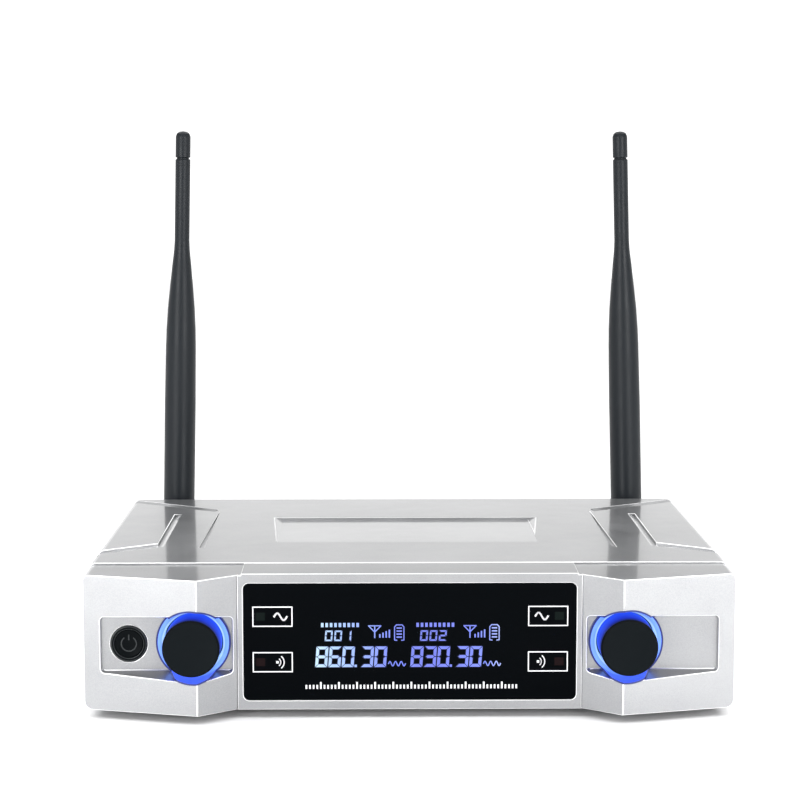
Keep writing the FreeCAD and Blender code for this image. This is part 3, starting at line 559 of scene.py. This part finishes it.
class Marks:
    """Collects flat marks in one mesh that lies on the lens."""

    def __init__(self, thick):
        self.mesh = bmesh.new()
        self.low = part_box("display_lens")[0]
        self.thick = thick

    def shape(self, corners):
        base = self.low.z / MM
        prism(self.mesh, [(x, z + base) for x, z in corners], self.low.y, self.thick)

    def box(self, left, right, low, high):
        self.shape([(left, low), (right, low), (right, high), (left, high)])

    def line(self, start, end, width):
        """A straight stroke, a little longer than its ends so that strokes join."""
        (ax, az), (bx, bz) = start, end
        length = math.hypot(bx - ax, bz - az)
        ux, uz = (bx - ax) / length * width / 2, (bz - az) / length * width / 2
        ox, oz = ux * OVERLAP, uz * OVERLAP
        self.shape([(ax - ox + uz, az - oz - ux), (bx + ox + uz, bz + oz - ux),
                    (bx + ox - uz, bz + oz + ux), (ax - ox - uz, az - oz + ux)])

    def path(self, points, width):
        for start, end in zip(points, points[1:]):
            self.line(start, end, width)

    def frame(self, left, right, low, high, width):
        half = width / 2
        self.box(left - half, right + half, low - half, low + half)
        self.box(left - half, right + half, high - half, high + half)
        self.box(left - half, left + half, low + half, high - half)
        self.box(right - half, right + half, low + half, high - half)

    def finish(self, name, slot, finish):
        return add_piece(name, self.mesh, "case", finish)


SLANT = 0.075        # of a digit's height, how far its top leans to the right
HALO_REACH = 0.34
LIT = {"0": "abcdef", "1": "bc", "2": "abged", "3": "abgcd", "6": "afgedc", "8": "abcdefg"}


def segment_outlines(width, height, stroke, gap):
    """Outlines of the seven bars of a digit, from its lower left corner."""
    top, mid = height, height / 2
    upper_left = [(0, top - gap), (stroke, top - stroke - gap), (stroke, mid + stroke / 2 + gap),
                  (stroke / 2, mid + gap), (0, mid + gap)]
    bars = {
        "a": [(gap, top), (width - gap, top), (width - stroke - gap, top - stroke),
              (stroke + gap, top - stroke)],
        "f": upper_left,
        "g": [(stroke / 2 + gap, mid), (stroke + gap, mid + stroke / 2),
              (width - stroke - gap, mid + stroke / 2), (width - stroke / 2 - gap, mid),
              (width - stroke - gap, mid - stroke / 2), (stroke + gap, mid - stroke / 2)],
    }
    bars["b"] = [(width - x, z) for x, z in upper_left]
    bars["e"] = [(x, top - z) for x, z in upper_left]
    bars["c"] = [(width - x, top - z) for x, z in upper_left]
    bars["d"] = [(x, top - z) for x, z in bars["a"]]
    return bars


def swollen(corners, by):
    """An outline pushed out from its middle."""
    cx = sum(x for x, _ in corners) / len(corners)
    cz = sum(z for _, z in corners) / len(corners)
    grown = []
    for x, z in corners:
        away = math.hypot(x - cx, z - cz)
        grown.append((x + (x - cx) / away * by, z + (z - cz) / away * by))
    return grown


def number(lit, halo, text, left, low, height, width, stroke, pitch, dot_room=0.0):
    """A slanted seven-segment number with a dim halo under each bar."""
    bars = segment_outlines(width, height, stroke, 0.1 * stroke + 0.04)
    dot = stroke * 0.85
    x = left
    for sign in text:
        if sign == ".":
            dot_left = x - pitch + width + 0.3
            lit.box(dot_left, dot_left + dot, low, low + dot)
            x += dot_room
            continue
        for bar in LIT[sign]:
            outline = [(x + px + pz * SLANT, low + pz) for px, pz in bars[bar]]
            lit.shape(outline)
            halo.shape(swollen(outline, HALO_REACH))
        x += pitch


def aerial(lit, left, top):
    """Aerial sign: a stem with an open triangle."""
    width, height, stem = 4.1, 2.1, left + 2.05
    lit.path([(left, top), (left + width, top), (stem, top - height), (left, top)], LINE)
    lit.line((stem, top), (stem, top - 4.0), 0.42)


def level_bars(lit, left, low):
    pitch, width = 1.05, 0.48
    for i, tall in enumerate((1.2, 1.7, 2.2, 2.7)):
        lit.box(left + i * pitch, left + i * pitch + width, low, low + tall)


def battery(lit, left, low):
    """Upright battery sign: an outline with a narrower cap round four charge bars."""
    width, height, cap, line = 3.3, 5.2, 0.7, 0.34
    lit.path([(left + 0.9, low), (left + 0.1, low + 0.1), (left + 0.1, low + height - cap),
              (left + cap, low + height), (left + width - cap, low + height),
              (left + width - 0.1, low + height - cap), (left + width - 0.1, low + 0.1),
              (left + width - 0.9, low)], line)
    for i in range(4):
        z = low + 0.85 + i * 1.02
        lit.box(left + 0.75, left + width - 0.75, z, z + 0.45)


def wave(marks, left, centre, length, height, turns, width):
    """A sine stroke."""
    steps = 10 * turns
    phase = 2 * math.pi * turns
    marks.path([(left + length * i / steps, centre + height / 2 * math.sin(phase * i / steps))
                for i in range(steps + 1)], width)


def radio_arcs(marks, left, centre, size):
    """A dot with two arcs to its right."""
    dot = 0.32 * size
    marks.box(left, left + dot, centre - dot / 2, centre + dot / 2)
    turns = [math.radians(a) for a in range(-48, 49, 12)]
    for radius in (0.6 * size, 1.05 * size):
        marks.path([(left + radius * math.cos(a), centre + radius * math.sin(a)) for a in turns], LINE)


def channel(lit, halo, shift, small, big):
    """One channel's read-out: level row, channel number, aerial, bars, battery and frequency."""
    left = GROUP_LEFT + shift
    level_pitch, level_width = 1.46, 0.86
    for i in range(9):
        lit.box(left + 2.0 + i * level_pitch, left + 2.0 + i * level_pitch + level_width, 24.6, 26.0)
    number(lit, halo, small, left + 3.2, 19.9, height=3.55, width=2.45, stroke=0.5, pitch=3.1)
    aerial(lit, left + 17.7, 25.0)
    level_bars(lit, left + 21.2, 21.0)
    battery(lit, left + 26.2, 20.1)
    number(lit, halo, big, left, 11.1, height=6.95, width=3.95, stroke=0.95, pitch=4.38, dot_room=1.95)
    wave(lit, left + 24.3, 12.2, length=5.6, height=1.5, turns=3, width=LINE)


def read_out():
    """The lit display, the white print on the lens and the lamp windows."""
    lit, halo, print_marks = Marks(0.03 * MM), Marks(0.012 * MM), Marks(0.03 * MM)
    channel(lit, halo, 0, "001", "860.30")
    channel(lit, halo, CHANNEL_PITCH, "002", "830.30")
    lit.finish("read_out", "diffuser", lit_display())
    halo.finish("read_out_halo", "diffuser", glow_print("halo_blue", (0.0, 0.002, 0.035), 1.0))
    for _, side in SIDES:
        left, right = sorted((side * 39.1 + 0.15, side * 52.0 + 0.15))
        sign = left + 7.0 if side < 0 else left + 2.2
        for low in (LOWER_ROW, UPPER_ROW):
            print_marks.frame(left, right, low, low + ROW_HEIGHT, LINE)
            if low == UPPER_ROW:
                wave(print_marks, sign, low + 3.2, length=4.2, height=2.4, turns=1, width=0.55)
            else:
                radio_arcs(print_marks, sign + 0.6, low + 3.2, size=2.5)
    tick_left, tick_foot, tick_pitch, tick_width = -34.6, 3.75, 1.2, 0.55
    for i in range(59):
        x = tick_left + i * tick_pitch
        tall = 2.3 if i % 5 == 4 else 1.35
        print_marks.box(x, x + tick_width, tick_foot, tick_foot + tall)
    print_marks.finish("lens_print", "diffuser", glow_print("white_print", (0.72, 0.72, 0.74), 0.22))
    for name, low, colour in (("green", UPPER_ROW, (0.003, 0.006, 0.0055)),
                              ("red", LOWER_ROW, (0.008, 0.0035, 0.004))):
        window = Marks(0.01 * MM)
        for _, side in SIDES:
            window.box(side * 49.4 - 1.5, side * 49.4 + 1.5, low + 1.9, low + 4.6)
        window.finish(f"lamp_window_{name}", "lamp", dark_window(f"window_{name}", colour))


# ---- controls --------------------------------------------------------------

def knob(label):
    """A plain drum with a chamfered front, a dished face and a bored hub for its shaft."""
    low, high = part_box(f"knob_{label}")
    radius = (high.x - low.x) / 2
    centre = front_middle(low, high)
    depth = high.y - low.y
    dish, chamfer = 0.12 * MM, 0.55 * MM
    wall, web = 1.6 * MM, 7 * MM
    hub, hub_end = 5 * MM, depth - 0.4 * MM
    bore, bore_floor = 3.02 * MM, 3.62 * MM
    mesh = bmesh.new()
    lathe(mesh, [(0, dish), (radius - 1.6 * MM, dish), (radius - 1.15 * MM, 0), (radius - chamfer, 0),
                 (radius, chamfer), (radius, depth), (radius - wall, depth), (radius - wall, web),
                 (hub, web), (hub, hub_end), (bore, hub_end), (bore, bore_floor), (0, bore_floor)],
          centre, 128)
    piece = add_piece(f"volume_knob_{label}", mesh, f"knob_{label}", FINISHES["knob_black"])
    piece.data.materials.append(lit_knob(centre, radius, low.y))
    # the side faces take the painted blue glow of the ring's light
    for face in piece.data.polygons:
        outward = math.hypot(face.center.x - centre.x, face.center.z - centre.z)
        face.material_index = int(outward > radius - 0.3 * MM and abs(face.normal.y) < 0.9)
    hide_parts(f"knob_{label}")


def glowing_ring(label):
    """A crowned light guide round the knob."""
    low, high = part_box(f"ring_light_{label}")
    centre = front_middle(low, high)
    outer = (high.x - low.x) / 2
    inner = outer - 2.45 * MM
    depth = high.y - low.y
    mesh = bmesh.new()
    crown = [(inner, 0.45 * MM), (inner + 0.35 * MM, 0.1 * MM), (inner + 0.9 * MM, 0),
             (outer - 0.9 * MM, 0), (outer - 0.35 * MM, 0.1 * MM), (outer, 0.45 * MM)]
    lathe(mesh, [*crown, (outer, depth), (inner, depth)], centre, 128)
    piece = add_piece(f"light_guide_{label}", mesh, "case", ring_glow(centre))
    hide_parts(f"ring_light_{label}")
    lining(label, centre, outer)


def lining(label, centre, outer):
    """A thin tube round the light guide whose front edge follows the moulding's surface; it carries the
    painted blue glow of the ring's light on the well's wall.
    """
    steps = 256
    thick = 0.6 * MM
    moulding = bmesh.new()
    moulding.from_mesh(NODES["front_bezel"].data)
    bezel = BVHTree.FromBMesh(moulding)
    moulding.free()
    probe = outer + 0.22 * MM
    outside = outer + 0.08 * MM
    inside = outside - thick
    back = centre.y + 0.6 * MM
    in_front = Vector((0, 0.05, 0))
    mesh = bmesh.new()
    rings = [[] for _ in range(4)]
    for i in range(steps):
        turn = 2 * math.pi * i / steps
        way = Vector((math.cos(turn), 0, math.sin(turn)))
        hit = bezel.ray_cast(centre + way * probe - in_front, Vector((0, 1, 0)))[0]
        front = min(hit.y, centre.y)
        places = ((outside, front), (inside, front), (inside, back), (outside, back))
        for ring, (reach, y) in zip(rings, places):
            ring.append(mesh.verts.new((centre.x + way.x * reach, y, centre.z + way.z * reach)))
    for first, second in zip(rings, rings[1:] + rings[:1]):
        for i in range(steps):
            j = (i + 1) % steps
            mesh.faces.new([first[i], first[j], second[j], second[i]])
    add_piece(f"light_well_{label}", mesh, "case", painted_well_glow(centre))


def power_controls():
    """The push cap with a moulded on-off sign, and its collar."""
    low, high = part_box("power_button")
    centre = front_middle(low, high)
    radius, chamfer, depth = 4.75 * MM, 0.25 * MM, high.y - low.y
    flange, flange_front = 5.6 * MM, depth - 0.9 * MM
    mesh = bmesh.new()
    lathe(mesh, [(0, 0.25 * MM), (radius - 1.1 * MM, 0.2 * MM), (radius - 0.7 * MM, 0),
                 (radius - chamfer, 0), (radius, chamfer), (radius, flange_front), (flange, flange_front),
                 (flange, depth), (0, depth)], centre)
    cap = add_piece("push_cap", mesh, "power_button", FINISHES["button_black"])
    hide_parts("power_button")
    sign = bmesh.new()
    face = low.y + 0.22 * MM
    turns = [math.radians(a) for a in range(125, 416, 10)]
    ring = [(2.7 * math.cos(a), 2.7 * math.sin(a)) for a in turns]
    ring += [(2.3 * math.cos(a), 2.3 * math.sin(a)) for a in reversed(turns)]
    strokes = [ring, [(-0.22, 1.2), (0.22, 1.2), (0.22, 3.1), (-0.22, 3.1)]]
    for corners in strokes:
        prism(sign, [(x + centre.x / MM, z + centre.z / MM) for x, z in corners], face, 0.14 * MM)
    # A lighter, glossier black paints the sheen on the raised on-off sign and a highlight on the collar's
    # rounded edges.
    sheen = surface("black_painted_sheen", (0.03, 0.034, 0.035), 0.35, grain=2600.0, relief=0.2,
                    Specular_IOR_Level=0.2)
    mark = add_piece("push_cap_sign", sign, "power_button", sheen)
    soften(mark, 0.05 * MM)
    refine("button_collar", "collar", 0.2 * MM, edge_highlight_finish=sheen, finish=FINISHES["button_black"])


# ---- antennas --------------------------------------------------------------

def antennas():
    for label, _ in SIDES:
        refine(f"antenna_mast_{label}", f"whip_{label}", 0.3 * MM)
        refine(f"antenna_tip_{label}", f"whip_tip_{label}", 0.2 * MM)
        refine(f"antenna_knuckle_{label}", f"elbow_{label}", 0.3 * MM)


# ---- rear and underside ----------------------------------------------------

def carve(piece, cutter):
    """Cuts a bmesh out of a piece."""
    bmesh.ops.recalc_face_normals(cutter, faces=cutter.faces)
    tool = new_object("cutter", mesh_data("cutter", cutter))
    piece.modifiers.clear()
    trim = piece.modifiers.new("trim", "BOOLEAN")
    trim.object = tool
    trim.solver = "EXACT"
    apply_modifiers(piece).set_sharp_from_angle(angle=SHARP_ANGLE)
    bpy.data.objects.remove(tool)


def add_cross(mesh, centre, outward):
    """Adds a plus-shaped plug, narrower at its foot, for a screwdriver recess."""
    half, reach = 0.32 * MM, 1.5 * MM
    plus = [(half, half), (half, reach), (-half, reach), (-half, half), (-reach, half), (-reach, -half),
            (-half, -half), (-half, -reach), (half, -reach), (half, -half), (reach, -half), (reach, half)]
    across = outward.orthogonal().normalized()
    up = outward.cross(across)
    join_outlines(mesh, *[[mesh.verts.new(centre + (across * a + up * b) * size + outward * along)
                           for a, b in plus] for along, size in ((0.4 * MM, 1.0), (-0.9 * MM, 0.6))])


def crossed_screws(node, name, tops, outward):
    """Screw heads with a driver recess in each."""
    piece = refine(node, name, 0.1 * MM)
    cutter = bmesh.new()
    for top in tops:
        add_cross(cutter, top, outward)
    carve(piece, cutter)
    soften(piece, 0.07 * MM, 40)


def screws():
    """The socket screws on the rear plate and the case screws under the floor."""
    _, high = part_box("xlr_screws")
    tops = []
    for label, _ in SIDES:
        socket = middle(f"xlr_shell_{label}")
        for x, z in ((-9.5, 12), (9.5, -12)):
            tops.append(Vector((socket.x + x * MM, high.y, socket.z + z * MM)))
    crossed_screws("xlr_screws", "socket_screws", tops, Vector((0, 1, 0)))
    low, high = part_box("case_screws")
    head = 2.7 * MM
    tops = [Vector((x, y, low.z)) for x in (low.x + head, high.x - head)
            for y in (low.y + head, high.y - head)]
    crossed_screws("case_screws", "floor_screws", tops, Vector((0, 0, -1)))


def knurled_nut():
    """A round jack nut with a knurled edge and a chamfered face."""
    low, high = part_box("mix_jack_nut")
    centre = front_middle(low, high)
    outer, inner, depth = (high.x - low.x) / 2, 4.65 * MM, high.y - low.y
    chamfer = 0.7 * MM
    knurl = 0.035        # of the radius
    steps = 96
    mesh = bmesh.new()
    lathe(mesh, [(inner, 0), (outer, 0), (outer, depth - chamfer), (outer - chamfer, depth),
                 (inner, depth)], centre, steps)
    for vert in mesh.verts:
        away = vert.co - centre
        away.y = 0
        step = round(math.atan2(away.z, away.x) / (2 * math.pi) * steps)
        if away.length > outer - 0.1 * MM and step % 2:
            vert.co -= away * knurl
    piece = add_piece("jack_ring", mesh, "case", FINISHES[SLOTS["mix_jack_nut"]])
    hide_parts("mix_jack_nut")


def socket_insert(label):
    """The black insert that holds a socket's pins, with a key rib along the shell's wall."""
    low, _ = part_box(f"xlr_pins_{label}")
    centre = middle(f"xlr_shell_{label}")
    floor = Vector((centre.x, low.y, centre.z))
    mesh = bmesh.new()
    lathe(mesh, [(0, 0.02 * MM), (7.9 * MM, 0.02 * MM), (7.9 * MM, 1.4 * MM), (7.2 * MM, 2.0 * MM),
                 (6.4 * MM, 2.0 * MM), (6.2 * MM, 1.6 * MM), (0, 1.6 * MM)], floor)
    rib = [(-1.4, 6.6), (1.4, 6.6), (1.6, 7.7), (-1.6, 7.7)]
    prism(mesh, [(x + centre.x / MM, z + centre.z / MM) for x, z in rib], low.y + 4.4 * MM, 4.2 * MM)
    add_piece(f"socket_insert_{label}", mesh, "case", FINISHES["black_plastic"])


def rear_print():
    """Plain printed frames round the sockets and a polarity sign by the supply inlet."""
    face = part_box("rear_panel")[1].y - 0.02 * MM
    mesh = bmesh.new()

    def bar(left, right, low, high):
        prism(mesh, [(left, low), (right, low), (right, high), (left, high)], face, 0.02 * MM)

    def frame_round(x, half_width, low, high, line=0.3):
        bar(x - half_width, x + half_width, low - line, low)
        bar(x - half_width, x + half_width, high, high + line)
        bar(x - half_width - line, x - half_width, low - line, high + line)
        bar(x + half_width, x + half_width + line, low - line, high + line)

    inlet, sign_height = -62, 39.1
    for x, half_width in ((30, 15), (-30, 15), (0, 10), (inlet, 12)):
        frame_round(x, half_width, 9.2, 43.0)
    for x in (-67.5, -56.5):
        bar(x - 1.2, x + 1.2, 38.9, 39.3)
    bar(-56.7, -56.3, 37.9, 40.3)
    for i in range(18):
        a, b = (math.radians(i * 20 + k) for k in (0, 20))
        prism(mesh, [(inlet + r * math.cos(t), sign_height + r * math.sin(t))
                     for r, t in ((1.9, a), (1.9, b), (1.5, b), (1.5, a))], face, 0.02 * MM)
    bar(-65.2, -63.9, 38.9, 39.3)
    bar(-60.1, -58.8, 38.9, 39.3)
    add_piece("rear_print", mesh, "case", glow_print("rear_white", (0.62, 0.62, 0.64), 0.02))


def rear_details():
    screws()
    knurled_nut()
    refine("mix_jack", "jack_body", 0.2 * MM)
    refine("dc_inlet", "inlet_body", 0.25 * MM)
    refine("dc_pin", "inlet_pin", 0.3 * MM)
    for label, _ in SIDES:
        refine(f"xlr_shell_{label}", f"socket_shell_{label}", 0.3 * MM)
        refine(f"xlr_pins_{label}", f"socket_pins_{label}", 0.5 * MM)
        refine(f"antenna_bushing_{label}", f"bushing_{label}", 0.25 * MM)
        socket_insert(label)
    rear_print()


# ---- studio ----------------------------------------------------------------

def camera():
    """A long lens a little left of the centre line, looking slightly down."""
    data = bpy.data.cameras.new("camera")
    data.lens = 90.8
    data.sensor_width = 36
    data.clip_start = 0.01
    view = new_object("camera", data)
    down, right = 0.1143, 0.0123
    view.location = (-0.01134, -0.73351, 0.18135)
    view.rotation_euler = (math.pi / 2 - down, 0, -right)
    bpy.context.scene.camera = view


def softbox(name, place, target, width, height, radiance):
    """A rectangular soft light of a given brightness, aimed at a point."""
    data = bpy.data.lights.new(name, "AREA")
    data.shape = "RECTANGLE"
    data.size, data.size_y = width, height
    data.energy = radiance * math.pi * width * height
    lamp = new_object(name, data)
    lamp.location = place
    lamp.rotation_euler = (Vector(target) - Vector(place)).to_track_quat("-Z", "Y").to_euler()


def sky():
    """Even white surroundings, a little darker in front of the object."""
    world = bpy.data.worlds.new("studio")
    world.use_nodes = True
    bpy.context.scene.world = world
    tree = world.node_tree
    direction = add(tree, "SeparateXYZ", {"Vector": add(tree, "TexCoord").outputs["Generated"]})
    high = add(tree, "MapRange", {"Value": direction.outputs["Z"], "From Min": 0.1, "From Max": 0.3,
                                  "To Min": 1.3, "To Max": 0.45}, interpolation_type="SMOOTHSTEP")
    front = add(tree, "MapRange", {"Value": direction.outputs["Y"], "From Min": -0.9, "From Max": 0.1,
                                   "To Min": 0.25, "To Max": 1.0}, interpolation_type="SMOOTHSTEP")
    strength = add(tree, "Math", {0: high.outputs["Result"], 1: front.outputs["Result"]},
                   operation="MULTIPLY")
    feed(tree, tree.nodes["Background"], {"Strength": strength.outputs[0], "Color": (1, 1, 1, 1)})


def studio():
    """White surroundings, six soft lights and a pale floor."""
    sky()
    for name, side in SIDES:
        softbox(f"key_{name}", (side * 0.8, -1.25, 0.34), (0, 0, 0.03), 0.6, 0.64, 7.8)
        softbox(f"floor_{name}", (side * 0.36, -0.26, 0.3), (side * 0.34, -0.26, 0), 0.2, 0.2, 10.0)
    softbox("front_top", (0, -0.9, 1.5), (0, 0, 0), 1.6, 0.7, 2.2)
    softbox("overhead", (0, 1.5, 2.6), (0, 1.3, 0), 5.0, 5.0, 1.7)
    mesh = bmesh.new()
    bmesh.ops.create_grid(mesh, x_segments=8, y_segments=8, size=2.6)
    floor = new_object("floor", mesh_data("floor", mesh))
    floor.data.materials.append(surface("pale_floor", (0.88, 0.88, 0.885), 0.55, mottle=0.01, cloud=3.0,
                                        grain=300.0, relief=0.05))
    view_settings = bpy.context.scene.view_settings
    view_settings.view_transform = "Standard"
    view_settings.look = "None"


camera()
studio()
case_shells()
read_out()
for label, _ in SIDES:
    knob(label)
    glowing_ring(label)
power_controls()
antennas()
rear_details()
